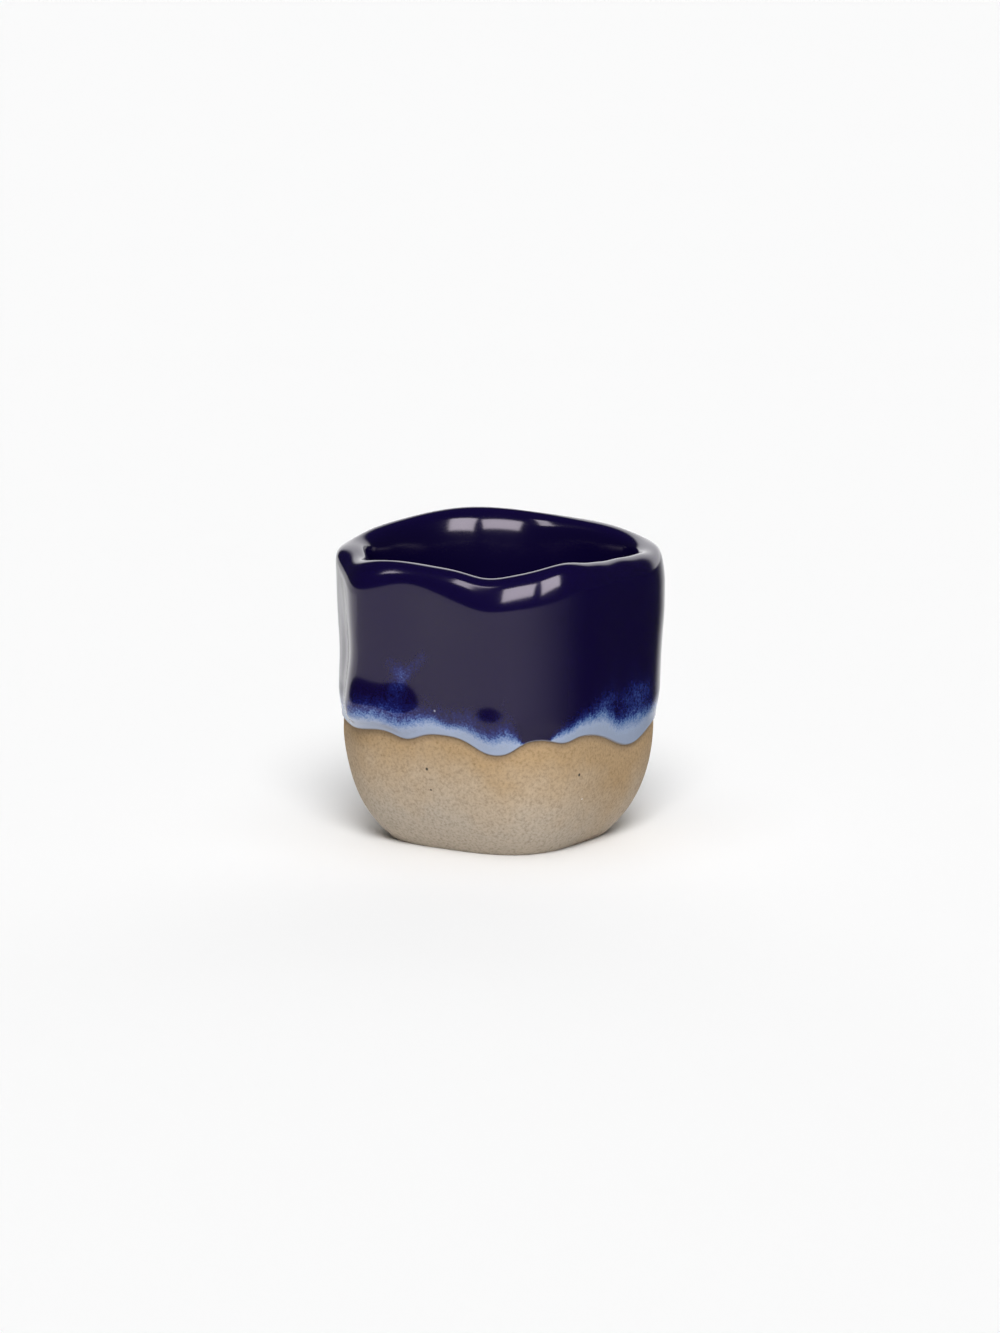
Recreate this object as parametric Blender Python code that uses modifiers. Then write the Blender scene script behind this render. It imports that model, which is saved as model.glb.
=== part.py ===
"""A hand-pinched espresso cup in stoneware, for Blender 4.5, in metres with +Z up.

The cup has no handle and no moving piece. The clay body is one shell, the liner glaze is poured in, the
outer glaze is dipped on from above, and pale glaze pools in two runs along the outer glaze's lower edge.
Every piece is turned as a round pot and then pinched to the same hand-made shape, so that the pieces stay
nested.
"""

import math

import bmesh
import bpy

MM = 0.001

# Clay, as turned. A radius is half the width across two opposite faces of the pinched cup.
CLAY_HEIGHT = 59.0 * MM
FOOT_RADIUS = 19.4 * MM
BELLY_RADIUS = 27.75 * MM
BELLY_HEIGHT = 23.1 * MM
RIM_RADIUS = 28.5 * MM
WALL = 4.2 * MM
FLOOR = 6.0 * MM
WELL_RADIUS = 12.0 * MM

# Handles of the two bowl curves: a longer handle gives a fuller bowl.
FOOT_ANGLE = math.radians(57)
FOOT_HANDLE = 1.85 * MM
BELLY_HANDLE = 16.4 * MM
WELL_HANDLE = 7.5 * MM
INSIDE_HANDLE = 10.0 * MM

# The lip is half an ellipse over the wall. It rises from the outside and falls further to the inside.
LIP_RISE = 6.0 * MM
LIP_FALL = 10.0 * MM

# Glaze. The seat is the gap left between two pieces that touch, and the lap is where the two coats meet on
# the lip, as the way that the lip faces there: 0 is outwards, 90 up and 180 inwards.
SEAT = 0.3 * MM
GLAZE = 0.7 * MM
LAP_ANGLE = math.radians(163)
GLAZE_LINE = 25.2 * MM
SETTLE_REACH = 11.0 * MM

# Pale runs. The section gives shares of a run's height and thickness, from the top to the lower edge. A run
# keeps the end share of both at its ends. The first break between runs is at an angle, the second opposite.
RUN_HEIGHT = 3.2 * MM
RUN_EDGE = 0.35 * MM
RUN_SECTION = ((1, 1), (0.55, 0.9), (0.2, 0.5), (0, 0))
RUN_END = 0.35
FIRST_BREAK = -45

# Lobes of the glaze line: angle and spread in degrees, share of the longest drop.
LONGEST_DROP = 4.8 * MM
LOBES = (
    (-123, 12, 0.23),
    (-98, 8, 0.35),
    (-60, 9, 0.63),
    (-33, 6, 0.23),
    (10, 20, 1.0),
    (62, 9, 0.38),
    (95, 12, 0.54),
    (128, 8, 0.25),
    (163, 13, 0.58),
    (-157, 8, 0.31),
)

# The pinch. Squareness is the power of a superellipse: 2 is round.
SQUARENESS = 3.2
RIM_TILT = 2.0 * MM
RIM_HIGH_ANGLE = 140
WAVE_REACH = 22.0 * MM

# Waves of the rim: angle and spread in degrees, share of the deepest wave.
DEEPEST_WAVE = 1.8 * MM
RIM_WAVES = (
    (-31, 14, 0.95),
    (-62, 10, -0.55),
    (-127, 14, -1.0),
    (-151, 13, -0.5),
    (-12, 8, 0.18),
    (17, 10, -0.3),
    (32, 11, -0.6),
    (50, 16, -0.6),
    (138, 28, 0.45),
)

# Rolls of the lip: angle and spread in degrees, reach below the crest, share added to its fall from there.
# The lip is flatter where it falls less.
ROLLS = (
    (-142, 20, 10.0 * MM, -0.7),
    (-95, 16, 10.0 * MM, -0.35),
    (-50, 40, 2.5 * MM, -0.4),
    (-34, 12, 10.0 * MM, 0.2),
    (25, 20, 10.0 * MM, 0.3),
    (40, 28, 4.5 * MM, -0.75),
    (82, 20, 7.0 * MM, -0.6),
)

# Dents and bulges of the wall: angle and spread in degrees, level and reach as shares of the clay's height,
# and the push outwards as a share of the deepest.
DEEPEST_DENT = 3.5 * MM
DENTS = (
    (-58, 20, 0.88, 0.10, 0.18),
    (-113, 11, 0.84, 0.22, 0.66),
    (-117, 10, 0.58, 0.16, 0.40),
    (-131, 8, 0.70, 0.40, -0.17),
    (138, 32, 0.90, 0.50, -1.14),
    (-137, 12, 0.80, 0.16, -0.20),
    (-153, 10, 0.78, 0.20, 0.24),
    (-132, 16, 0.66, 0.10, -0.20),
    (-140, 25, 0.37, 0.085, 0.09),
    (-100, 22, 0.76, 0.15, -0.14),
    (0, 24, 0.68, 0.20, -0.14),
    (45, 25, 0.80, 0.14, 0.11),
    (100, 20, 0.71, 0.17, -0.17),
    (175, 20, 0.64, 0.17, -0.14),
)

# Facets
TURN_STEPS = 8 * 9
BREAK_STEPS = 1
FLOOR_STEPS = 2
WELL_STEPS = 6
LIP_STEPS = 8
WALL_STEPS = 5
LOWER_WALL_STEPS = 2
BOWL_STEPS = 9
SHARP_ANGLE = math.radians(50)

# Looks: colour and roughness.
STONEWARE = ((0.42, 0.31, 0.19), 0.85)
COBALT = ((0.010, 0.006, 0.075), 0.08)
PALE = ((0.36, 0.50, 0.78), 0.12)

# Worked out
LIP_RADIUS = WALL / 2
LIP_MIDDLE = RIM_RADIUS - LIP_RADIUS
OUTER_TOP = CLAY_HEIGHT - LIP_RISE
INNER_TOP = CLAY_HEIGHT - LIP_FALL
CREST = CLAY_HEIGHT + SEAT + GLAZE
SETTLE_TOP = GLAZE_LINE + SETTLE_REACH
COAT_BOTTOM = GLAZE_LINE + RUN_HEIGHT + SEAT
LAP_BEND = math.hypot(LIP_RADIUS * math.cos(LAP_ANGLE), LIP_FALL * math.sin(LAP_ANGLE))
LAP_RADIUS = (LIP_RADIUS * LIP_FALL) ** 2 / LAP_BEND**3
HALF_LAP = SEAT / 2 / (LAP_RADIUS + SEAT)
LIP_WAYS = [math.pi * (1 - i / LIP_STEPS) for i in range(LIP_STEPS + 1)]
STEP = 360 / TURN_STEPS
RUN_STEPS = TURN_STEPS // 2 - 2 * BREAK_STEPS


def bezier(start, start_handle, end_handle, end, count):
    """Stations along a cubic curve: radius, height and the normal that points away from the clay."""
    stations = []
    for i in range(count + 1):
        t = i / count
        u = 1 - t
        point = []
        slope = []
        for a, b, c, d in zip(start, start_handle, end_handle, end):
            point.append(u**3 * a + 3 * u * u * t * b + 3 * u * t * t * c + t**3 * d)
            slope.append(u * u * (b - a) + 2 * u * t * (c - b) + t * t * (d - c))
        size = math.hypot(*slope)
        stations.append((*point, -slope[1] / size, slope[0] / size))
    return stations


def straight(start, end, count):
    third = [a + (b - a) / 3 for a, b in zip(start, end)]
    two_thirds = [b + (a - b) / 3 for a, b in zip(start, end)]
    return bezier(start, third, two_thirds, end, count)


def lip(ways):
    """Stations on the round of the clay lip, each where it faces a way: 0 is outwards and pi inwards."""
    stations = []
    for way in ways:
        across, up = math.cos(way), math.sin(way)
        depth = LIP_RISE if across > 0 else LIP_FALL
        size = math.hypot(LIP_RADIUS * across, depth * up)
        radius = LIP_MIDDLE + LIP_RADIUS**2 * across / size
        stations.append((radius, CLAY_HEIGHT - depth + depth**2 * up / size, across, up))
    return stations


def upright_radius(height):
    """The clay's outside radius at a height above the belly."""
    share = (height - BELLY_HEIGHT) / (OUTER_TOP - BELLY_HEIGHT)
    return BELLY_RADIUS + share * (RIM_RADIUS - BELLY_RADIUS)


def inside():
    """Stations of the clay's inside, from the middle of the floor up to the lip."""
    well = (WELL_RADIUS, FLOOR)
    turn = (BELLY_RADIUS - WALL, BELLY_HEIGHT)
    top = (RIM_RADIUS - WALL, INNER_TOP)
    well_handle = (WELL_RADIUS + WELL_HANDLE, FLOOR)
    turn_handle = (turn[0], BELLY_HEIGHT - INSIDE_HANDLE)
    floor = straight((0, FLOOR), well, FLOOR_STEPS)
    bowl = bezier(well, well_handle, turn_handle, turn, WELL_STEPS)
    return floor + bowl[1:] + straight(turn, top, WALL_STEPS)[1:]


def upper_wall():
    """Stations of the clay's outside from the lip down to where the outer glaze begins to settle."""
    return straight((RIM_RADIUS, OUTER_TOP), (upright_radius(SETTLE_TOP), SETTLE_TOP), WALL_STEPS)


def lower_wall():
    """Stations of the clay's outside from there down to the edge of the foot."""
    turn = (BELLY_RADIUS, BELLY_HEIGHT)
    turn_handle = (BELLY_RADIUS, BELLY_HEIGHT - BELLY_HANDLE)
    rise = (FOOT_RADIUS + FOOT_HANDLE * math.cos(FOOT_ANGLE), FOOT_HANDLE * math.sin(FOOT_ANGLE))
    bowl = bezier(turn, turn_handle, rise, (FOOT_RADIUS, 0), BOWL_STEPS)
    return straight((upright_radius(SETTLE_TOP), SETTLE_TOP), turn, LOWER_WALL_STEPS) + bowl[1:]


LOWER_WALL = lower_wall()


def wall_radius(height):
    """The clay's outside radius at a height, as its facets run."""
    for (r0, z0, _, _), (r1, z1, _, _) in zip(LOWER_WALL, LOWER_WALL[1:]):
        if z1 <= height <= z0:
            return r1 + (r0 - r1) * (height - z1) / (z0 - z1)
    return upright_radius(height)


def off_clay(stations, distance):
    return [(r + distance * nr, z + distance * nz) for r, z, nr, nz in stations]


def coat_section(stations):
    """The section of a glaze coat on these stations: its face, and then its back the other way."""
    return off_clay(stations, SEAT + GLAZE) + off_clay(stations, SEAT)[::-1]


def hump(angle, middle, spread):
    """1 at the middle angle, falling away over the spread, in degrees."""
    away = (angle - middle + 180) % 360 - 180
    return math.exp(-((away / spread) ** 2))


def smooth(value, low, high):
    t = min(1, max(0, (value - low) / (high - low)))
    return t * t * (3 - 2 * t)


def changes(angle, humps):
    """The sum of the humps of a table at an angle: angle and spread in degrees, share."""
    return sum(share * hump(angle, middle, spread) for middle, spread, share in humps)


def glaze_line(angle):
    return GLAZE_LINE - LONGEST_DROP * changes(angle, LOBES)


def run_share(angle):
    """How far along a pale run an angle is: 0 at the run's middle, 1 at its ends and more in a break."""
    away = (angle - FIRST_BREAK) % 180 - 90
    return abs(away) / (90 - BREAK_STEPS * STEP)


def run_fullness(angle):
    """A run is full along its length and falls off towards its ends."""
    return RUN_END + (1 - RUN_END) * math.sqrt(max(0, 1 - run_share(angle) ** 8))


def coat_edge(angle):
    """The height of the outer glaze's lower edge: above a run, or at the glaze line in a break."""
    if run_share(angle) > 1.001:
        return glaze_line(angle)
    return glaze_line(angle) + RUN_HEIGHT * run_fullness(angle) + SEAT


def stay(radius, angle, height):
    return radius, height


def settle_coat(radius, angle, height):
    """Moves a point of the outer glaze, turned level, so that its lower edge meets the runs."""
    if height >= SETTLE_TOP:
        return radius, height
    share = (SETTLE_TOP - height) / (SETTLE_TOP - COAT_BOTTOM)
    settled = SETTLE_TOP - share * (SETTLE_TOP - coat_edge(angle))
    return radius + wall_radius(settled) - wall_radius(height), settled


def settle_run(radius, angle, height):
    """Moves a point of a run, turned level, to where the glaze ran to."""
    fullness = run_fullness(angle)
    settled = glaze_line(angle) + (height - GLAZE_LINE) * fullness
    thickness = (radius - wall_radius(height) - SEAT) * fullness
    return wall_radius(settled) + SEAT + thickness, settled


def pinch(radius, angle, height):
    """Moves a point of the turned pot to where the potter's hands leave it."""
    across, along = math.cos(math.radians(angle)), math.sin(math.radians(angle))
    radius *= (abs(across) ** SQUARENESS + abs(along) ** SQUARENESS) ** (-1 / SQUARENESS)
    give = DEEPEST_DENT * smooth(radius, 0, BELLY_RADIUS - WALL)
    for middle, spread, level, reach, push in DENTS:
        level_share = math.exp(-(((height / CLAY_HEIGHT - level) / reach) ** 2))
        radius += give * push * hump(angle, middle, spread) * level_share
    fall = CREST - height
    roll = 1
    for middle, spread, reach, share in ROLLS:
        roll += share * hump(angle, middle, spread) * math.exp(-((fall / reach) ** 2))
    height = CREST - fall * roll
    tilt = RIM_TILT * math.cos(math.radians(angle - RIM_HIGH_ANGLE))
    wave = tilt + DEEPEST_WAVE * changes(angle, RIM_WAVES)
    height += wave * smooth(height, CLAY_HEIGHT - WAVE_REACH, CLAY_HEIGHT)
    return radius * across, radius * along, height


def material(name, look):
    colour, roughness = look
    made = bpy.data.materials.new(name)
    made.use_nodes = True
    shader = made.node_tree.nodes["Principled BSDF"]
    shader.inputs["Base Color"].default_value = (*colour, 1)
    shader.inputs["Roughness"].default_value = roughness
    shader.inputs["Metallic"].default_value = 0
    made.diffuse_color = (*colour, 1)
    return made


def turned_mesh(name, profile, closed, steps):
    """The mesh of a profile turned about +Z from +X, through some or all of the steps of a full turn."""
    mesh = bpy.data.meshes.new(name)
    edges = [(i, i + 1) for i in range(len(profile) - 1)]
    if closed:
        edges.append((len(profile) - 1, 0))
    mesh.from_pydata([(r, 0, z) for r, z in profile], edges, [])
    wheel = bpy.data.objects.new(name, mesh)
    bpy.context.scene.collection.objects.link(wheel)
    screw = wheel.modifiers.new("Wheel", "SCREW")
    screw.axis = "Z"
    screw.angle = math.radians(steps * STEP)
    screw.steps = screw.render_steps = steps
    screw.use_merge_vertices = True
    screw.merge_threshold = 0.01 * MM
    graph = bpy.context.evaluated_depsgraph_get()
    turned = bpy.data.meshes.new_from_object(wheel.evaluated_get(graph))
    bpy.data.objects.remove(wheel)
    bpy.data.meshes.remove(mesh)
    return turned


def add_piece(name, look, profile, settle=stay, closed=False, start=0, steps=TURN_STEPS):
    """Adds one piece of the cup: turned, settled, pinched, and capped where its turn stops short."""
    mesh = turned_mesh(name, profile, closed, steps)
    shape = bmesh.new()
    shape.from_mesh(mesh)
    for vertex in shape.verts:
        angle = start + math.degrees(math.atan2(vertex.co.y, vertex.co.x))
        radius, height = settle(math.hypot(vertex.co.x, vertex.co.y), angle, vertex.co.z)
        vertex.co = pinch(radius, angle, height)
    bmesh.ops.holes_fill(shape, edges=[edge for edge in shape.edges if edge.is_boundary])
    bmesh.ops.recalc_face_normals(shape, faces=shape.faces)
    shape.to_mesh(mesh)
    shape.free()
    mesh.shade_smooth()
    mesh.set_sharp_from_angle(angle=SHARP_ANGLE)
    mesh.materials.append(material(name, look))
    bpy.data.collections["espresso_cup"].objects.link(bpy.data.objects.new(name, mesh))


def add_stoneware_body():
    profile = off_clay(inside() + lip(LIP_WAYS[1:-1]) + upper_wall() + LOWER_WALL[1:], 0)
    add_piece("stoneware_body", STONEWARE, profile + [(0, 0)])


def add_liner_glaze():
    lap = LAP_ANGLE + HALF_LAP
    stations = inside() + lip([way for way in LIP_WAYS[1:] if way > lap] + [lap])
    add_piece("liner_glaze", COBALT, coat_section(stations))


def add_outer_glaze():
    bottom = (wall_radius(COAT_BOTTOM), COAT_BOTTOM)
    settling = straight((upright_radius(SETTLE_TOP), SETTLE_TOP), bottom, LOWER_WALL_STEPS)
    lap = LAP_ANGLE - HALF_LAP
    rounded_lip = lip([lap] + [way for way in LIP_WAYS[:-1] if way < lap])
    stations = rounded_lip + upper_wall() + settling[1:]
    add_piece("outer_glaze", COBALT, coat_section(stations), settle_coat, closed=True)


def add_pale_run(name, start):
    """Adds the pooled glaze between two breaks, with its rolled lower edge."""
    face = []
    back = []
    for height_share, thickness_share in RUN_SECTION:
        height = GLAZE_LINE + height_share * RUN_HEIGHT
        thickness = RUN_EDGE + thickness_share * (GLAZE - RUN_EDGE)
        back.append((wall_radius(height) + SEAT, height))
        face.append((wall_radius(height) + SEAT + thickness, height))
    add_piece(name, PALE, face + back[::-1], settle_run, True, start, RUN_STEPS)


def main():
    for old in list(bpy.data.objects):
        bpy.data.objects.remove(old)
    cup = bpy.data.collections.new("espresso_cup")
    bpy.context.scene.collection.children.link(cup)
    add_stoneware_body()
    add_liner_glaze()
    add_outer_glaze()
    first_start = FIRST_BREAK + BREAK_STEPS * STEP
    add_pale_run("pale_run_right", first_start)
    add_pale_run("pale_run_left", first_start + 180)


main()
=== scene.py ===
"""Looks for the hand-pinched espresso cup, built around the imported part, in metres with +Z up.

The clay and the glaze are made again as fine meshes from the part's own turned sections and pinch, with
the glaze fused to the clay. The glaze is one surface, cut along the borders of the part's pieces, so that
its shine runs on from piece to piece.
"""

import math

import bpy
import numpy as np
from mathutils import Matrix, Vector


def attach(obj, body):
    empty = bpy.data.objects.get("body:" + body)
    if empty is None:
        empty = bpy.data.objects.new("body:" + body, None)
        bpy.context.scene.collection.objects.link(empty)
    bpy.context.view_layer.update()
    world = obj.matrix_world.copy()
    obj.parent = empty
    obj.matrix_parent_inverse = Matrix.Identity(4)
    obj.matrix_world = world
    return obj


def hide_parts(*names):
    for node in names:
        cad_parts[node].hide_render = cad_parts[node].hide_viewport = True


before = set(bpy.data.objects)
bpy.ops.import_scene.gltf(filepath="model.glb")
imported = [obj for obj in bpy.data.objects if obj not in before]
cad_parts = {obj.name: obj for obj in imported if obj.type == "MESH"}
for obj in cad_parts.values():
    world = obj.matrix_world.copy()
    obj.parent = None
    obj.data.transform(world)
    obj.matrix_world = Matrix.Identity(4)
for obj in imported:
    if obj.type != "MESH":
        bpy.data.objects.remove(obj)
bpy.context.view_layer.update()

MM = 0.001
TINY = 1e-12

# Clay, as turned. A radius is half the width across two opposite faces of the pinched cup.
CLAY_HEIGHT = 59.0 * MM
FOOT_RADIUS = 19.4 * MM
BELLY_RADIUS = 27.75 * MM
BELLY_HEIGHT = 23.1 * MM
RIM_RADIUS = 28.5 * MM
WALL = 4.2 * MM
FLOOR = 6.0 * MM
WELL_RADIUS = 12.0 * MM
LIP_RISE = 6.0 * MM
LIP_FALL = 10.0 * MM
FOOT_ANGLE = math.radians(57)
FOOT_HANDLE = 1.85 * MM
BELLY_HANDLE = 16.4 * MM
WELL_HANDLE = 7.5 * MM
INSIDE_HANDLE = 10.0 * MM
FOOT_ROUND = 0.5 * MM

# Glaze, fused to the clay. The edge is the round of its lower edge, the wedge is where it thins towards
# it, and its back is sunk a little into the clay. Rows of its mesh follow the glaze line at first and are
# level from SETTLE_TOP.
COAT = 1.0 * MM
EDGE = 0.42 * MM
WEDGE = 6.0 * MM
SUNK = 0.06 * MM
GLAZE_LINE = 25.2 * MM
SETTLE_TOP = 36.2 * MM

# Where the glaze is cut into the part's pieces: the height of the pale runs, the angle on the lip at
# which the liner starts, and the middle and half width, in degrees, of the breaks between the runs.
RUN_HEIGHT = 3.2 * MM
LAP_ANGLE = math.radians(125)
FIRST_BREAK = -45
HALF_BREAK = 5

# Lobes of the glaze line: angle and spread in degrees, share of the longest drop. The small lobes at
# -53.5 and 36 are only here, and the others are the part's.
LONGEST_DROP = 4.8 * MM
LOBES = (
    (-123, 12, 0.23),
    (-98, 8, 0.35),
    (-60, 9, 0.63),
    (-53.5, 4.5, 0.16),
    (-33, 6, 0.23),
    (10, 20, 1.0),
    (36, 8, 0.15),
    (62, 9, 0.38),
    (95, 12, 0.54),
    (128, 8, 0.25),
    (163, 13, 0.58),
    (-157, 8, 0.31),
)

# The pinch, as on the part. All angles and spreads are in degrees. Waves of the rim: angle, spread, share
# of the deepest wave. Rolls of the lip: angle, spread, reach below the crest, share added to the fall
# from the crest. Dents: angle, spread, level and reach as shares of the clay's height, share of the
# deepest dent.
SQUARENESS = 3.2
RIM_TILT = 2.0 * MM
RIM_HIGH_ANGLE = 140
WAVE_REACH = 22.0 * MM
DEEPEST_WAVE = 1.8 * MM
RIM_WAVES = (
    (-31, 14, 0.95),
    (-62, 10, -0.55),
    (-127, 14, -1.0),
    (-151, 13, -0.5),
    (-12, 8, 0.18),
    (17, 10, -0.3),
    (32, 11, -0.6),
    (50, 16, -0.6),
    (138, 28, 0.45),
)
ROLLS = (
    (-142, 20, 10.0 * MM, -0.7),
    (-95, 16, 10.0 * MM, -0.35),
    (-50, 40, 2.5 * MM, -0.4),
    (-34, 12, 10.0 * MM, 0.2),
    (25, 20, 10.0 * MM, 0.3),
    (40, 28, 4.5 * MM, -0.75),
    (82, 20, 7.0 * MM, -0.6),
)
DEEPEST_DENT = 3.5 * MM
DENTS = (
    (-58, 20, 0.88, 0.10, 0.18),
    (-113, 11, 0.84, 0.22, 0.66),
    (-117, 10, 0.58, 0.16, 0.40),
    (-131, 8, 0.70, 0.40, -0.17),
    (138, 32, 0.90, 0.50, -1.14),
    (-137, 12, 0.80, 0.16, -0.20),
    (-153, 10, 0.78, 0.20, 0.24),
    (-132, 16, 0.66, 0.10, -0.20),
    (-140, 25, 0.37, 0.085, 0.09),
    (-100, 22, 0.76, 0.15, -0.14),
    (0, 24, 0.68, 0.20, -0.14),
    (45, 25, 0.80, 0.14, 0.11),
    (100, 20, 0.71, 0.17, -0.17),
    (175, 20, 0.64, 0.17, -0.14),
)

# Swells of the glaze above the pale band: angle and spread in degrees, height, reach, push.
SWELLS = (
    (-115, 10, 27.4 * MM, 6.0 * MM, 2.2 * MM),
    (-99, 10, 27.6 * MM, 5.2 * MM, 1.5 * MM),
    (-61.5, 9, 27.4 * MM, 4.2 * MM, 0.75 * MM),
    (122, 12, 28.0 * MM, 4.0 * MM, 0.7 * MM),
)

# Milk of the glaze: the height above the glaze line at which it is half gone, how sharply it goes, the
# least share of that height, and how the height changes round the cup: angle and spread in degrees, share
# added.
MILK_HEIGHT = 3.6 * MM
MILK_FALL = 4
LEAST_MILK = 0.03
MILK_CHANGES = (
    (-44, 7, -1.5),
    (-54.5, 3.5, 0.3),
    (-31, 7, -0.25),
    (-77, 6, -0.35),
    (-11.5, 6, 0.36),
    (-1, 3.5, -0.08),
    (11, 12, 0.62),
    (135, 9, -1.2),
    (95, 10, 0.25),
    (-170, 12, -0.3),
)

# Wisps of milk higher up, as strokes: angle and height of both ends, half width, strength.
WISPS = (
    (-102, 38.5 * MM, -98.5, 36.8 * MM, 1.3 * MM, 0.13),
    (-89, 40.5 * MM, -97, 36.7 * MM, 1.3 * MM, 0.14),
    (-98.5, 36.8 * MM, -99.5, 34.4 * MM, 1.6 * MM, 0.15),
    (-100, 34 * MM, -101, 31 * MM, 1.8 * MM, 0.11),
    (-117, 29.6 * MM, -95, 28.8 * MM, 1.8 * MM, 0.13),
    (-66, 29.6 * MM, -80, 30.2 * MM, 1.0 * MM, 0.10),
    (-36, 24.6 * MM, -24, 27.0 * MM, 1.6 * MM, 0.20),
    (-10, 30.8 * MM, -5, 30.6 * MM, 2.2 * MM, 0.15),
    (5, 30.4 * MM, 20, 31.0 * MM, 2.2 * MM, 0.20),
    (-5, 33.5 * MM, -3, 38.5 * MM, 2.2 * MM, 0.05),
    (12, 33 * MM, 9, 36.0 * MM, 2.2 * MM, 0.05),
    (80, 31 * MM, 92, 33.5 * MM, 2.0 * MM, 0.20),
    (160, 30 * MM, 168, 36 * MM, 1.5 * MM, 0.20),
)

# Specks in the clay and a pale dot in the glaze: angle, height, radius. The core is the part of the radius
# in full colour.
SPOT_CORE = 1 / 3
DARK_SPECKS = (
    (-88.7, 17.9 * MM, 0.45 * MM),
    (-87.6, 13.6 * MM, 0.30 * MM),
    (-24.5, 17.0 * MM, 0.45 * MM),
    (70, 12.0 * MM, 0.40 * MM),
    (-175, 15.0 * MM, 0.45 * MM),
)
PALE_SPECKS = (
    (-20.8, 11.6 * MM, 0.28 * MM),
    (110, 9.0 * MM, 0.35 * MM),
)
PALE_DOTS = ((-83.1, 30.2 * MM, 0.30 * MM),)

# Colours of the glaze by the amount of milk in it, of its lower edge and of a pale dot. The milk is stirred
# by streaks, drawn out upwards, and by speckles. The lower edge's grey is partly thin glaze over the clay
# and partly painted shade at the border with the clay. Its heights are where that colour starts and is
# full.
GLAZE_STOPS = (
    (0.05, (0.0042, 0.0018, 0.030)),
    (0.22, (0.007, 0.009, 0.085)),
    (0.38, (0.026, 0.046, 0.20)),
    (0.55, (0.10, 0.18, 0.39)),
    (0.75, (0.23, 0.31, 0.50)),
    (0.91, (0.35, 0.42, 0.58)),
    (1.0, (0.325, 0.385, 0.515)),
)
GLAZE_EDGE_GREY_AND_SHADE = (0.24, 0.235, 0.25)
PALE_DOT = (0.32, 0.33, 0.42)
STREAK_SIZE = 1.0 * MM
STREAK_STRETCH = 1.6
STREAK_DETAIL = 3
STREAK_AMOUNT = 0.7
SPECKLE_SIZE = 0.38 * MM
SPECKLE_DETAIL = 2
SPECKLE_AMOUNT = 1.5
GLAZE_EDGE_SHADE_HEIGHTS = (0.45 * MM, 0.10 * MM)
GLAZE_ROUGHNESS = 0.12
LINER_ROUGHNESS = 0.18
GLAZE_IOR = 1.48
GLAZE_TINT = (1.0, 0.9, 1.0)

# Colours of the clay. It is warm under the glaze line, greyer towards the foot, warmer on some sides and
# blushed in clouds. Its grain darkens and lightens it. Just under the glaze it is darker: partly its own
# dark line and partly painted shade under the glaze's edge. The depths are where that dark starts and is
# full.
WARM_TOP = 1.05
WARM_REACH = 17 * MM
WARM_SIDES = (
    (0, 40, 0.3),
    (150, 40, 0.3),
)
CLAY_STOPS = (
    (0.0, (0.475, 0.405, 0.325)),
    (0.5, (0.465, 0.36, 0.25)),
    (1.0, (0.425, 0.291, 0.157)),
)
GRAIN_STOPS = (
    (0.25, (0.66, 0.64, 0.61)),
    (0.5, (1, 1, 1)),
    (0.75, (1.17, 1.17, 1.17)),
)
DARK_SPECK = (0.05, 0.042, 0.035)
PALE_SPECK = (0.75, 0.72, 0.66)
CLAY_DARK_AND_SHADE_UNDER_GLAZE = (0.17, 0.12, 0.08)
UNDER_GLAZE_SHADE_DEPTHS = (1.7 * MM, 0.05 * MM)
UNDER_GLAZE_SHADE_SHARE = 0.5
BLUSH_SIZE = 6 * MM
BLUSH_DETAIL = 3
BLUSH_AMOUNT = 0.6
GRAIN_SIZE = 0.6 * MM
GRAIN_DETAIL = 3
GRAIN_ROUGHNESS = 0.65
GRAIN_DEPTH = 0.06 * MM
GRAIN_STRENGTH = 0.6
CLAY_ROUGHNESS = 0.9
CLAY_SPECULAR = 0.25

# Camera: its way and distance from the point it looks at, that point's place, and the scale there.
AZIMUTH = math.radians(33)
ELEVATION = 10.64
DISTANCE = 1.1
TARGET_RIGHT = 0.07 * MM
TARGET_HEIGHT = 34.2 * MM
PIXELS_PER_METRE = 4950
FRAME_HEIGHT = 1333
SENSOR = 36.0
NEAREST = 0.01
FARTHEST = 100

# Studio, with a pale floor in a dim room. A way is in degrees to the right of the camera and above the
# floor, as seen from the cup.
FLOOR_SIDE = 12.0
FLOOR_COLOUR = (0.95, 0.95, 0.95)
ROOM = 0.03

# A pale backdrop: strength, way, cosines off that way at which it starts and is full, sine of its top and
# its fade.
BACKDROP = 1.5
BACKDROP_WAY = (170, 0)
BACKDROP_SIDES = (0.743, 0.848)
BACKDROP_TOP = math.sin(math.radians(60))
BACKDROP_FADE = 0.15

# Soft lights: name, way, spread, strength.
SUNS = (
    ("key", (3, 43), math.radians(26), 2.5),
    ("top", (0, 80), math.radians(60), 1.15),
)
LAMP_AWAY = 1.0
LAMP_LEVEL = CLAY_HEIGHT

# Panes of the windows: name, way, width, height, radiance.
PANES = (
    ("pane_left", (-1, 28), 0.80, 0.36, 9.3),
    ("pane_right", (48, 26), 0.47, 0.43, 9.7),
    ("pane_far", (-52, 38), 0.18, 0.36, 8.0),
)

# A low pale card on the left behind the cup, in the same order, with its distance and the level of its
# middle.
CARD = ("card", (-118, 0), 0.16, 0.026, 0.5)
CARD_AWAY = 0.15
CARD_LEVEL = 0.021

# A dark flag to the right of the cup. It lies just over the floor from near the foot outwards, and then
# stands up. Its range is the angles at which it starts, is full, fades and ends.
FLAG_FROM = 0.036
FLAG_AWAY = 0.08
FLAG_GAP = 0.001
FLAG_HEIGHT = 0.055
FLAG_RANGE = (-10, 80, 118, 138)
FLAG_STEPS = 33
FLAG_COLOUR = (0.02, 0.02, 0.02)

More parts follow.
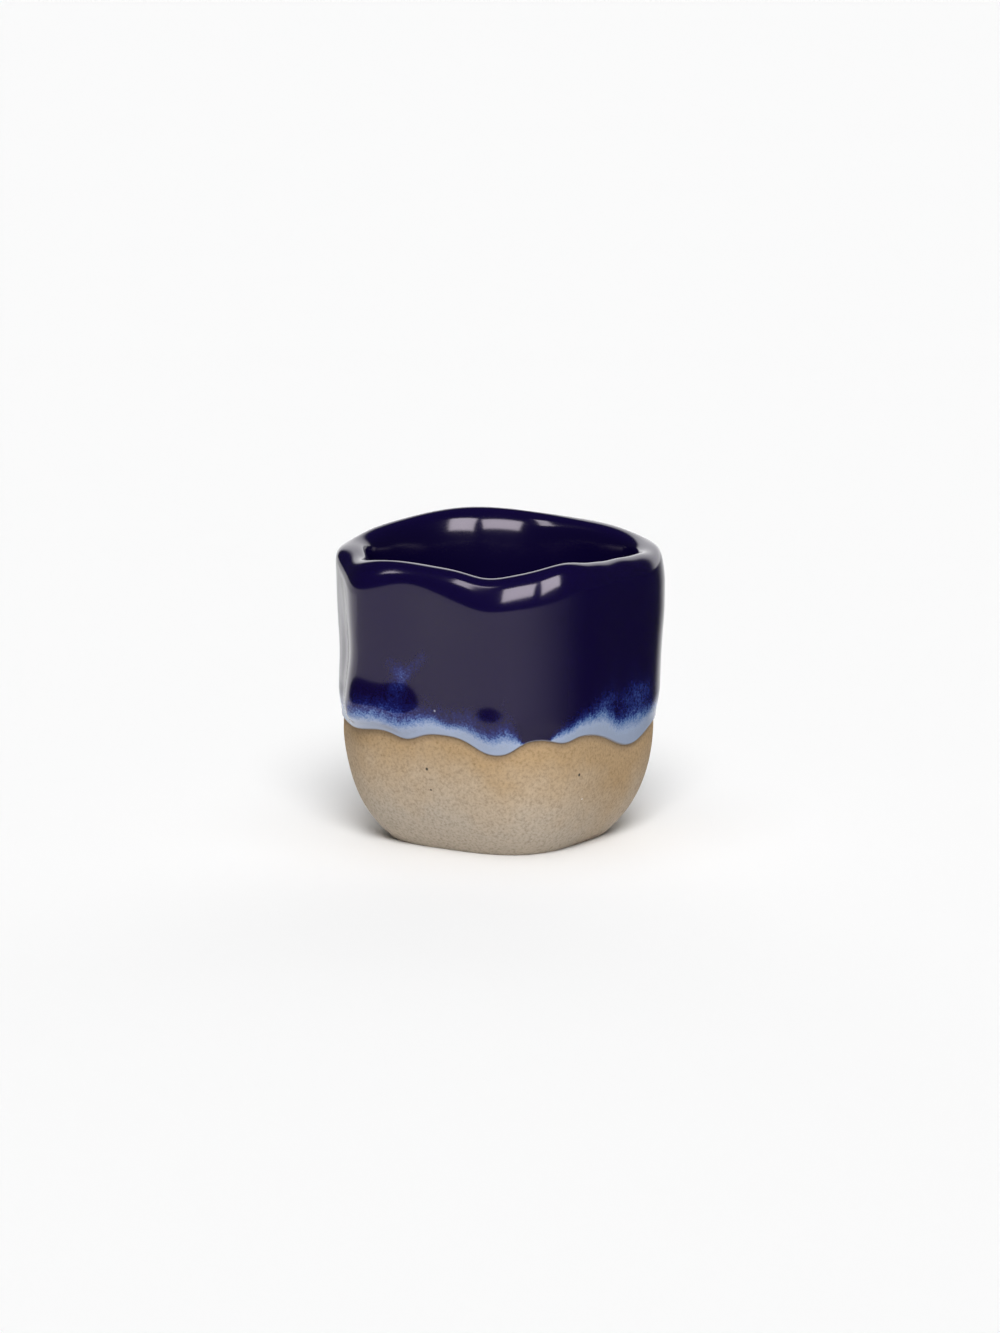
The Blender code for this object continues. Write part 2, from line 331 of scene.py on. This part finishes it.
# Mesh: columns round the cup, and rows along its sections. The glaze hides the covered rows, and the guide
# rows only serve to look up the wall.
COLUMNS = 360
STEP = 360 / COLUMNS
EDGE_ROWS = 6
WEDGE_ROWS = 32
UPRIGHT_ROWS = 26
LIP_ROWS = 22
LAP_ROWS = 14
WALL_ROWS = 24
WELL_ROWS = 16
FLOOR_ROWS = 5
CLAY_ROWS = 110
COVERED_ROWS = 27
COVERED_FLOOR_ROWS = 2
GUIDE_WALL_ROWS = 60
GUIDE_BOWL_ROWS = 240

# Shader nodes: the middle of the noise texture's range, and the colour sockets of the mix node
NOISE_MIDDLE = 0.5
MIX_INPUTS = (0, 6, 7)
MIX_OUTPUT = 2

# Worked out
LIP_RADIUS = WALL / 2
LIP_MIDDLE = RIM_RADIUS - LIP_RADIUS
OUTER_TOP = CLAY_HEIGHT - LIP_RISE
INNER_TOP = CLAY_HEIGHT - LIP_FALL
CREST = CLAY_HEIGHT + COAT
SWELL_GROWTH = WEDGE / 2
ANGLES = np.arange(COLUMNS) * STEP - 180


def smooth(value, low, high):
    t = np.clip((value - low) / (high - low), 0, 1)
    return t * t * (3 - 2 * t)


def hump(angle, middle, spread):
    """1 at the middle angle, falling away over the spread, in degrees."""
    away = (angle - middle + 180) % 360 - 180
    return np.exp(-((away / spread) ** 2))


def changes(angle, humps):
    return sum(share * hump(angle, middle, spread) for middle, spread, share in humps)


def patches(angle, height, table):
    """The sum of patches of a wall: angle and spread, level and reach, push."""
    total = 0
    for middle, spread, level, reach, push in table:
        total = total + push * hump(angle, middle, spread) * np.exp(-(((height - level) / reach) ** 2))
    return total


def glaze_line(angle):
    return GLAZE_LINE - LONGEST_DROP * changes(angle, LOBES)


def pinch(radius, angle, height):
    """Moves points of the turned pot to where the potter's hands leave them."""
    across = np.cos(np.radians(angle))
    along = np.sin(np.radians(angle))
    radius = radius * (abs(across) ** SQUARENESS + abs(along) ** SQUARENESS) ** (-1 / SQUARENESS)
    push = DEEPEST_DENT * patches(angle, height / CLAY_HEIGHT, DENTS)
    radius = radius + push * smooth(radius, 0, BELLY_RADIUS - WALL)
    fall = CREST - height
    roll = 1
    for middle, spread, reach, share in ROLLS:
        roll = roll + share * hump(angle, middle, spread) * np.exp(-((fall / reach) ** 2))
    height = CREST - fall * roll
    tilt = RIM_TILT * np.cos(np.radians(angle - RIM_HIGH_ANGLE))
    wave = tilt + DEEPEST_WAVE * changes(angle, RIM_WAVES)
    height = height + wave * smooth(height, CLAY_HEIGHT - WAVE_REACH, CLAY_HEIGHT)
    return np.stack([radius * across, radius * along, height], axis=-1)


def bezier(start, start_handle, end_handle, end, count):
    """Stations along a cubic curve: radius, height and the normal that points away from the clay."""
    t = np.linspace(0, 1, count + 1)[:, None]
    u = 1 - t
    a, b, c, d = (np.array(p, float) for p in (start, start_handle, end_handle, end))
    point = u**3 * a + 3 * u * u * t * b + 3 * u * t * t * c + t**3 * d
    slope = u * u * (b - a) + 2 * u * t * (c - b) + t * t * (d - c)
    slope /= np.linalg.norm(slope, axis=1)[:, None]
    return np.column_stack([point, -slope[:, 1], slope[:, 0]])


def straight(start, end, count):
    a = np.array(start, float)
    b = np.array(end, float)
    return bezier(a, a + (b - a) / 3, b + (a - b) / 3, b, count)


def lip(start, end, count):
    """Stations on the round of the clay lip between two angles: 0 is outside and pi inside."""
    angle = np.linspace(start, end, count + 1)
    across = np.cos(angle)
    up = np.sin(angle)
    depth = np.where(angle < math.pi / 2, LIP_RISE, LIP_FALL)
    normal = np.column_stack([across / LIP_RADIUS, up / depth])
    normal /= np.linalg.norm(normal, axis=1)[:, None]
    return np.column_stack([LIP_MIDDLE + LIP_RADIUS * across, CLAY_HEIGHT - depth * (1 - up), normal])


def inside(floor_count, well_count, wall_count):
    """Stations of the clay's inside, from the middle of the floor up to the lip."""
    well = (WELL_RADIUS, FLOOR)
    well_end = (WELL_RADIUS + WELL_HANDLE, FLOOR)
    turn = (BELLY_RADIUS - WALL, BELLY_HEIGHT)
    turn_end = (BELLY_RADIUS - WALL, BELLY_HEIGHT - INSIDE_HANDLE)
    bowl = bezier(well, well_end, turn_end, turn, well_count)
    wall = straight(turn, (RIM_RADIUS - WALL, INNER_TOP), wall_count)
    return np.vstack([straight((0, FLOOR), well, floor_count), bowl[1:], wall[1:]])


def outside(wall_count, bowl_count):
    """Stations of the clay's outside, from the lip down to the edge of the foot."""
    turn = (BELLY_RADIUS, BELLY_HEIGHT)
    rise = (FOOT_RADIUS + FOOT_HANDLE * math.cos(FOOT_ANGLE), FOOT_HANDLE * math.sin(FOOT_ANGLE))
    bowl = bezier(turn, (BELLY_RADIUS, BELLY_HEIGHT - BELLY_HANDLE), rise, (FOOT_RADIUS, 0), bowl_count)
    return np.vstack([straight((RIM_RADIUS, OUTER_TOP), turn, wall_count), bowl[1:]])


OUTSIDE = outside(GUIDE_WALL_ROWS, GUIDE_BOWL_ROWS)[::-1]


def wall_at(height):
    """The clay's outside radius at these heights, and its normal."""
    return [np.interp(height, OUTSIDE[:, 1], OUTSIDE[:, k]) for k in (0, 2, 3)]


def grid_normals(points):
    """The normal at each point of a grid of rows round the cup."""
    along = np.roll(points, -1, axis=1) - np.roll(points, 1, axis=1)
    up = np.gradient(points, axis=0)
    normals = np.cross(along, up)
    size = np.linalg.norm(normals, axis=-1, keepdims=True)
    return normals / np.maximum(size, TINY)


def coat_thickness(above):
    """The glaze's thickness at a height above its lower edge: a rounded edge, and then a wedge."""
    inward = np.clip(1 - above / EDGE, 0, 1)
    return EDGE * np.sqrt(1 - inward**2) + (COAT - EDGE) * smooth(above, 0, WEDGE)


class Glaze:
    """The glaze as two grids of points, its face and its back.

    The rows run from its lower edge up the wall, over the lip and down to the middle of the floor.
    """

    def __init__(self):
        angle = ANGLES[None, :]
        line = glaze_line(angle)
        round_rows = EDGE * (1 - np.cos(np.linspace(0, math.pi / 2, EDGE_ROWS + 1)))
        wedge_rows = np.linspace(EDGE, SETTLE_TOP - GLAZE_LINE, WEDGE_ROWS + 1)
        rises = np.concatenate([round_rows, wedge_rows[1:]])
        above = rises[:, None] / (SETTLE_TOP - GLAZE_LINE) * (SETTLE_TOP - line)
        height = line + above
        radius, across, up = wall_at(height)
        thick = coat_thickness(above) + patches(angle, height, SWELLS) * smooth(above, 0, SWELL_GROWTH)
        settled_face = pinch(radius + thick * across, angle, height + thick * up)
        settled_back = pinch(radius - SUNK * across, angle, height - SUNK * up)

        settled = (wall_at(SETTLE_TOP)[0], SETTLE_TOP)
        upright = straight((RIM_RADIUS, OUTER_TOP), settled, UPRIGHT_ROWS)[::-1]
        outer_lip = lip(0, LAP_ANGLE, LIP_ROWS)
        inner_lip = lip(LAP_ANGLE, math.pi, LAP_ROWS)
        down = inside(FLOOR_ROWS, WELL_ROWS, WALL_ROWS)[::-1]
        stations = np.vstack([upright[1:], outer_lip[1:], inner_lip[1:], down[1:]])
        r, z, nr, nz = (column[:, None] for column in stations.T)
        thick = COAT + patches(angle, z, SWELLS) * (z < OUTER_TOP) * (nr > 0)
        self.face = np.concatenate([settled_face, pinch(r + thick * nr, angle, z + thick * nz)])
        self.back = np.concatenate([settled_back, pinch(r - SUNK * nr, angle, z - SUNK * nz)])
        self.normals = grid_normals(self.face)
        self.normals[-1] = (0, 0, 1)
        self.above = np.vstack([above, z + COAT * nz - line])
        self.run_row = int(np.searchsorted(rises, RUN_HEIGHT))
        self.lap_row = len(rises) - 1 + UPRIGHT_ROWS + LIP_ROWS


def stroke(angle, height, start_angle, start_height, end_angle, end_height):
    """How far points of the wall are from a straight stroke on it."""
    arc = np.radians((angle - start_angle + 180) % 360 - 180) * RIM_RADIUS
    end_arc = math.radians(end_angle - start_angle) * RIM_RADIUS
    rise = height - start_height
    end_rise = end_height - start_height
    share = np.clip((arc * end_arc + rise * end_rise) / (end_arc**2 + end_rise**2), 0, 1)
    return np.hypot(arc - share * end_arc, rise - share * end_rise)


def milk(angle, above, height):
    """How milky the glaze is: half at the milk's height above the line, with wisps higher up."""
    half = MILK_HEIGHT * np.maximum(1 + changes(angle, MILK_CHANGES), LEAST_MILK)
    amount = 1 / (1 + (np.maximum(above, 0) / half) ** MILK_FALL)
    for *ends, wide, strength in WISPS:
        away = stroke(angle, height, *ends)
        amount = amount + strength * np.exp(-((away / wide) ** 2)) * (1 - amount)
    return amount


def without_repeats(quads):
    """Faces from rows of four points, some of which meet in a pole."""
    return [list(dict.fromkeys(quad)) for quad in quads.tolist()]


def ring_points(rows, poles=()):
    """The numbers of the points of a grid of rows round the cup. A row at a pole is one point."""
    points = np.arange(rows * COLUMNS).reshape(rows, COLUMNS)
    for row in poles:
        points[row] = points[row, 0]
    return points


def mesh_of(name, points, faces):
    """A mesh of the points that its faces use, and their places in the list."""
    used = sorted({i for face in faces for i in face})
    place = {old: new for new, old in enumerate(used)}
    mesh = bpy.data.meshes.new(name)
    mesh.from_pydata(points[used].tolist(), [], [[place[i] for i in face] for face in faces])
    mesh.update()
    mesh.shade_smooth()
    return mesh, used


def set_values(mesh, used, **values):
    for name, value in values.items():
        made = mesh.attributes.new(name, "FLOAT", "POINT")
        made.data.foreach_set("value", value.ravel()[used].astype(np.float32))


def shell(name, glaze, cells, values):
    """A closed piece of the glaze: the chosen cells of its face and back, with walls round their border."""
    points = ring_points(len(glaze.face), poles=[-1])
    count = points.size
    corners = np.stack([points, np.roll(points, -1, axis=1)], axis=-1)
    low = corners[:-1]
    high = corners[1:]
    quads = np.concatenate([low, high[:, :, ::-1]], axis=-1)
    front = without_repeats(quads[cells])
    back = [[i + count for i in face[::-1]] for face in front]
    none = np.zeros_like(cells[:1])
    borders = (
        (cells & ~np.vstack([none, cells[:-1]]), low[:, :, 0], low[:, :, 1]),
        (cells & ~np.vstack([cells[1:], cells[-1:]]), high[:, :, 1], high[:, :, 0]),
        (cells & ~np.roll(cells, 1, axis=1), high[:, :, 0], low[:, :, 0]),
        (cells & ~np.roll(cells, -1, axis=1), low[:, :, 1], high[:, :, 1]),
    )
    walls = []
    for where, first, second in borders:
        a, b = first[where], second[where]
        walls += np.stack([b, a, a + count, b + count], axis=1).tolist()
    both = np.vstack([glaze.face.reshape(-1, 3), glaze.back.reshape(-1, 3)])
    mesh, used = mesh_of(name, both, front + back + walls)
    set_values(mesh, used, **{key: np.concatenate([value, value]) for key, value in values.items()})
    normals = np.vstack([glaze.normals.reshape(-1, 3), -glaze.normals.reshape(-1, 3)])
    at_corners = [normals[i] for face in front + back for i in face]
    for polygon in list(mesh.polygons)[len(front) + len(back):]:
        at_corners += [polygon.normal] * 4
    mesh.normals_split_custom_set(at_corners)
    return mesh


def add_piece(name, mesh, material, slot, *nodes):
    mesh.materials.append(material)
    piece = bpy.data.objects.new(name, mesh)
    bpy.context.scene.collection.objects.link(piece)
    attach(piece, "root")
    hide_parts(*nodes)


def add_glaze(material):
    glaze = Glaze()
    height = glaze.face[:, :, 2]
    rows = np.arange(len(glaze.face))[:, None] + 0 * ANGLES[None, :]
    values = {
        "milk": milk(ANGLES[None, :], glaze.above, height) * (rows < glaze.lap_row),
        "above": np.where(rows < glaze.lap_row, glaze.above, CREST) / MM,
        "within": smooth(rows, glaze.lap_row, glaze.lap_row + LAP_ROWS),
    }
    rows = rows[:-1]
    away = (ANGLES + STEP / 2 - FIRST_BREAK) % 360
    pooled = (rows < glaze.run_row) & (abs(away % 180 - 90) < 90 - HALF_BREAK)
    within = rows >= glaze.lap_row
    for name, cells, slot, node_name in (
        ("glaze_outside", ~pooled & ~within, "cobalt_glaze", "outer_glaze"),
        ("glaze_inside", within, "cobalt_glaze", "liner_glaze"),
        ("glaze_run_right", pooled & (away < 180), "pale_glaze", "pale_run_right"),
        ("glaze_run_left", pooled & (away > 180), "pale_glaze", "pale_run_left"),
    ):
        add_piece(name, shell(name, glaze, cells, values), material, slot, node_name)


def add_clay(material):
    """The clay body: with few rows under the glaze, and fine where it is bare."""
    bowl = outside(COVERED_ROWS, CLAY_ROWS)
    bowl = bowl[bowl[:, 1] > FOOT_ROUND]
    corner = (FOOT_RADIUS, 0)
    turn = bezier(bowl[-1, :2], corner, corner, (FOOT_RADIUS - FOOT_ROUND, 0), EDGE_ROWS)
    base = straight((FOOT_RADIUS - FOOT_ROUND, 0), (0, 0), FLOOR_ROWS)
    lip_rows = lip(math.pi, 0, LIP_ROWS)
    bottom = inside(COVERED_FLOOR_ROWS, WELL_ROWS, WELL_ROWS)
    stations = np.vstack([bottom, lip_rows[1:-1], bowl, turn[1:], base[1:]])
    angle = ANGLES[None, :]
    grid = pinch(stations[:, :1], angle, stations[:, 1:2])
    points = ring_points(len(stations), poles=[0, -1])
    after = np.roll(points, -1, axis=1)
    quads = np.stack([points[:-1], points[1:], after[1:], after[:-1]], axis=-1)
    mesh, used = mesh_of("clay_body", grid.reshape(-1, 3), without_repeats(quads.reshape(-1, 4)))
    below = glaze_line(angle) - stations[:, 1:2]
    warm = WARM_TOP - below / WARM_REACH + changes(angle, WARM_SIDES)
    set_values(mesh, used, below=below / MM, warm=warm)
    add_piece("clay_body", mesh, material, "stoneware", "stoneware_body")


def new_material(name):
    made = bpy.data.materials.new(name)
    made.use_nodes = True
    return made, made.node_tree, made.node_tree.nodes["Principled BSDF"]


def node(tree, kind, links=(), **settings):
    """Adds a node, sets what is named, and links sockets into its inputs."""
    made = tree.nodes.new(kind)
    for key, value in settings.items():
        setattr(made, key, value)
    for socket, source in links:
        tree.links.new(source, made.inputs[socket])
    return made


def arithmetic(tree, operation, a, b=0.0, clamp=False):
    """The result of one step of arithmetic on sockets or numbers."""
    made = node(tree, "ShaderNodeMath", operation=operation, use_clamp=clamp)
    for k, value in enumerate((a, b)):
        if isinstance(value, (int, float)):
            made.inputs[k].default_value = value
        else:
            tree.links.new(value, made.inputs[k])
    return made.outputs[0]


def ramp(tree, factor, stops):
    made = node(tree, "ShaderNodeValToRGB", links=[(0, factor)])
    bar = made.color_ramp.elements
    while len(bar) < len(stops):
        bar.new(1)
    for element, (place, colour) in zip(bar, stops):
        element.position = place
        element.color = (*colour, 1)
    return made.outputs[0]


def step(tree, value, low, high, to_low=0.0, to_high=1.0):
    """A smooth step of a value between two levels."""
    made = node(tree, "ShaderNodeMapRange", interpolation_type="SMOOTHSTEP", links=[(0, value)])
    for k, level in enumerate((low, high, to_low, to_high)):
        made.inputs[k + 1].default_value = level
    return made.outputs[0]


def mix(tree, factor, first, second, blend="MIX"):
    """Two colours, sockets or plain, mixed by a factor."""
    made = node(tree, "ShaderNodeMix", data_type="RGBA", blend_type=blend)
    for k, value in zip(MIX_INPUTS, (factor, first, second)):
        if isinstance(value, (int, float)):
            made.inputs[k].default_value = value
        elif isinstance(value, tuple):
            made.inputs[k].default_value = (*value, 1)
        else:
            tree.links.new(value, made.inputs[k])
    return made.outputs[MIX_OUTPUT]


def attribute(tree, name):
    return node(tree, "ShaderNodeAttribute", attribute_name=name).outputs["Fac"]


def place_in(tree, stretch=1.0):
    """Places on the object, squeezed in height so that a texture on them is drawn out upwards."""
    where = node(tree, "ShaderNodeTexCoord").outputs["Object"]
    made = node(tree, "ShaderNodeVectorMath", operation="MULTIPLY", links=[(0, where)])
    made.inputs[1].default_value = (1, 1, 1 / stretch)
    return made.outputs[0]


def cloud(tree, where, size, detail=2.0, roughness=0.5):
    """Noise of a size, from -0.5 to 0.5."""
    made = node(tree, "ShaderNodeTexNoise", links=[("Vector", where)])
    made.inputs["Scale"].default_value = 1 / size
    made.inputs["Detail"].default_value = detail
    made.inputs["Roughness"].default_value = roughness
    return arithmetic(tree, "SUBTRACT", made.outputs[0], NOISE_MIDDLE)


def spots(tree, where, table, off_wall=0.0):
    """1 in spots on the wall and 0 elsewhere."""
    total = 0.0
    for angle, height, radius in table:
        at = pinch(wall_at(height)[0] + off_wall, angle, height)
        made = node(tree, "ShaderNodeVectorMath", operation="DISTANCE", links=[(0, where)])
        made.inputs[1].default_value = at
        spot = step(tree, made.outputs["Value"], radius, radius * SPOT_CORE)
        total = arithmetic(tree, "ADD", spot, total)
    return total


def glaze_material():
    made, tree, shader = new_material("cobalt_glaze")
    where = place_in(tree)
    amount = attribute(tree, "milk")
    streak = cloud(tree, place_in(tree, STREAK_STRETCH), STREAK_SIZE, STREAK_DETAIL)
    streak = arithmetic(tree, "MULTIPLY", streak, STREAK_AMOUNT)
    speckle = cloud(tree, where, SPECKLE_SIZE, SPECKLE_DETAIL)
    speckle = arithmetic(tree, "MULTIPLY", speckle, SPECKLE_AMOUNT)
    stir = arithmetic(tree, "ADD", streak, speckle)
    rest = arithmetic(tree, "SUBTRACT", 1.0, amount)
    unsettled = arithmetic(tree, "SQRT", arithmetic(tree, "MULTIPLY", amount, rest))
    total = arithmetic(tree, "ADD", amount, arithmetic(tree, "MULTIPLY", stir, unsettled), clamp=True)
    colour = ramp(tree, total, GLAZE_STOPS)
    # Grey at the glaze's lower edge: partly thin glaze, partly painted shade at the border with the clay.
    start, full = GLAZE_EDGE_SHADE_HEIGHTS
    border_dark_and_shade = step(tree, attribute(tree, "above"), start / MM, full / MM)
    colour = mix(tree, border_dark_and_shade, colour, GLAZE_EDGE_GREY_AND_SHADE)
    colour = mix(tree, spots(tree, where, PALE_DOTS, COAT), colour, PALE_DOT)
    tree.links.new(colour, shader.inputs["Base Color"])
    roughness = step(tree, attribute(tree, "within"), 0, 1, GLAZE_ROUGHNESS, LINER_ROUGHNESS)
    tree.links.new(roughness, shader.inputs["Roughness"])
    shader.inputs["IOR"].default_value = GLAZE_IOR
    shader.inputs["Specular Tint"].default_value = (*GLAZE_TINT, 1)
    return made


def clay_material():
    made, tree, shader = new_material("stoneware")
    where = place_in(tree)
    blush = arithmetic(tree, "MULTIPLY", cloud(tree, where, BLUSH_SIZE, BLUSH_DETAIL), BLUSH_AMOUNT)
    colour = ramp(tree, arithmetic(tree, "ADD", attribute(tree, "warm"), blush), CLAY_STOPS)
    grain = cloud(tree, where, GRAIN_SIZE, GRAIN_DETAIL, GRAIN_ROUGHNESS)
    grain = arithmetic(tree, "ADD", grain, NOISE_MIDDLE)
    colour = mix(tree, 1.0, colour, ramp(tree, grain, GRAIN_STOPS), "MULTIPLY")
    colour = mix(tree, spots(tree, where, DARK_SPECKS), colour, DARK_SPECK)
    colour = mix(tree, spots(tree, where, PALE_SPECKS), colour, PALE_SPECK)
    # Darker just under the glaze: partly the clay's own dark line, partly painted shade under the glaze's
    # edge.
    start, full = UNDER_GLAZE_SHADE_DEPTHS
    border_dark_and_shade = step(tree, attribute(tree, "below"), start / MM, full / MM, 0, UNDER_GLAZE_SHADE_SHARE)
    colour = mix(tree, border_dark_and_shade, colour, CLAY_DARK_AND_SHADE_UNDER_GLAZE)
    tree.links.new(colour, shader.inputs["Base Color"])
    shader.inputs["Roughness"].default_value = CLAY_ROUGHNESS
    shader.inputs["Specular IOR Level"].default_value = CLAY_SPECULAR
    bump = node(tree, "ShaderNodeBump", links=[("Height", grain)])
    bump.inputs["Distance"].default_value = GRAIN_DEPTH
    bump.inputs["Strength"].default_value = GRAIN_STRENGTH
    tree.links.new(bump.outputs[0], shader.inputs["Normal"])
    return made


def way(right, up):
    """The unit vector from the cup towards a place in the studio."""
    turn = AZIMUTH - math.radians(90 - right)
    rise = math.radians(up)
    return Vector((math.cos(turn) * math.cos(rise), math.sin(turn) * math.cos(rise), math.sin(rise)))


def add_object(name, data):
    made = bpy.data.objects.new(name, data)
    bpy.context.scene.collection.objects.link(made)
    return made


def add_camera():
    towards = way(0, ELEVATION)
    data = bpy.data.cameras.new("camera")
    data.sensor_width = SENSOR
    data.lens = SENSOR * DISTANCE * PIXELS_PER_METRE / FRAME_HEIGHT
    data.clip_start = NEAREST
    data.clip_end = FARTHEST
    camera = add_object("camera", data)
    target = way(90, 0) * TARGET_RIGHT + Vector((0, 0, TARGET_HEIGHT))
    camera.location = target + towards * DISTANCE
    camera.rotation_euler = towards.to_track_quat("Z", "Y").to_euler()
    bpy.context.scene.camera = camera


def add_floor():
    mesh = bpy.data.meshes.new("floor")
    half = FLOOR_SIDE / 2
    corners = [(-half, -half, 0), (half, -half, 0), (half, half, 0), (-half, half, 0)]
    mesh.from_pydata(corners, [], [(0, 1, 2, 3)])
    made, _, shader = new_material("floor")
    shader.inputs["Base Color"].default_value = (*FLOOR_COLOUR, 1)
    shader.inputs["Roughness"].default_value = 1
    shader.inputs["Specular IOR Level"].default_value = 0
    mesh.materials.append(made)
    add_object("floor", mesh)


def add_flag():
    """A dark card that neither the camera nor the floor sees, and only the shine of the glaze shows."""
    outline = ((FLAG_FROM, FLAG_GAP), (FLAG_AWAY, FLAG_GAP), (FLAG_AWAY, FLAG_HEIGHT))
    count = len(outline)
    points = []
    shade = []
    faces = []
    start, full, fading, end = FLAG_RANGE
    for i in range(FLAG_STEPS + 1):
        right = start + (end - start) * i / FLAG_STEPS
        points += [way(right, 0) * away + Vector((0, 0, level)) for away, level in outline]
        shade += [smooth(right, start, full) * smooth(right, end, fading)] * count
    for i in range(FLAG_STEPS):
        for k in range(i * count, i * count + count - 1):
            faces.append((k, k + count, k + count + 1, k + 1))
    mesh = bpy.data.meshes.new("flag")
    mesh.from_pydata(points, [], faces)
    mesh.attributes.new("shade", "FLOAT", "POINT").data.foreach_set("value", shade)
    made, tree, shader = new_material("flag")
    shader.inputs["Base Color"].default_value = (*FLAG_COLOUR, 1)
    tree.links.new(attribute(tree, "shade"), shader.inputs["Alpha"])
    mesh.materials.append(made)
    flag = add_object("flag", mesh)
    flag.visible_camera = flag.visible_diffuse = flag.visible_shadow = False


def add_lamp(name, data, towards, away, level):
    lamp = add_object(name, data)
    lamp.location = way(*towards) * away + Vector((0, 0, level))
    lamp.rotation_euler = way(*towards).to_track_quat("Z", "Y").to_euler()
    return lamp


def add_pane(name, towards, wide, high, radiance, away, level):
    """A rectangle of light that only the shine of the glaze shows."""
    pane = bpy.data.lights.new(name, "AREA")
    pane.shape = "RECTANGLE"
    pane.size = wide
    pane.size_y = high
    pane.energy = radiance * math.pi * wide * high
    lamp = add_lamp(name, pane, towards, away, level)
    lamp.visible_diffuse = False
    return lamp


def add_lamps():
    """A soft key light and a soft top light, the panes of the windows, and the card."""
    for name, towards, spread, strength in SUNS:
        sun = bpy.data.lights.new(name, "SUN")
        sun.energy = strength
        sun.angle = spread
        add_lamp(name, sun, towards, LAMP_AWAY, LAMP_LEVEL).visible_glossy = False
    for pane in PANES:
        add_pane(*pane, LAMP_AWAY, LAMP_LEVEL)
    add_pane(*CARD, CARD_AWAY, CARD_LEVEL).visible_camera = False


def add_world():
    """A dim room, with a pale backdrop behind the cup."""
    world = bpy.data.worlds.new("studio")
    bpy.context.scene.world = world
    world.use_nodes = True
    tree = world.node_tree
    shader = tree.nodes["Background"]
    shader.inputs["Color"].default_value = (1, 1, 1, 1)
    towards = node(tree, "ShaderNodeTexCoord").outputs["Generated"]
    shares = []
    for direction in (way(*BACKDROP_WAY), way(0, 90)):
        made = node(tree, "ShaderNodeVectorMath", operation="DOT_PRODUCT", links=[(0, towards)])
        made.inputs[1].default_value = direction
        shares.append(made.outputs["Value"])
    behind = step(tree, shares[0], *BACKDROP_SIDES)
    low = step(tree, shares[1], BACKDROP_TOP + BACKDROP_FADE, BACKDROP_TOP - BACKDROP_FADE)
    drop = arithmetic(tree, "MULTIPLY", arithmetic(tree, "MULTIPLY", behind, low), BACKDROP)
    tree.links.new(arithmetic(tree, "ADD", drop, ROOM), shader.inputs["Strength"])


add_clay(clay_material())
add_glaze(glaze_material())
add_floor()
add_flag()
add_lamps()
add_world()
add_camera()
bpy.context.scene.view_settings.view_transform = "Standard"
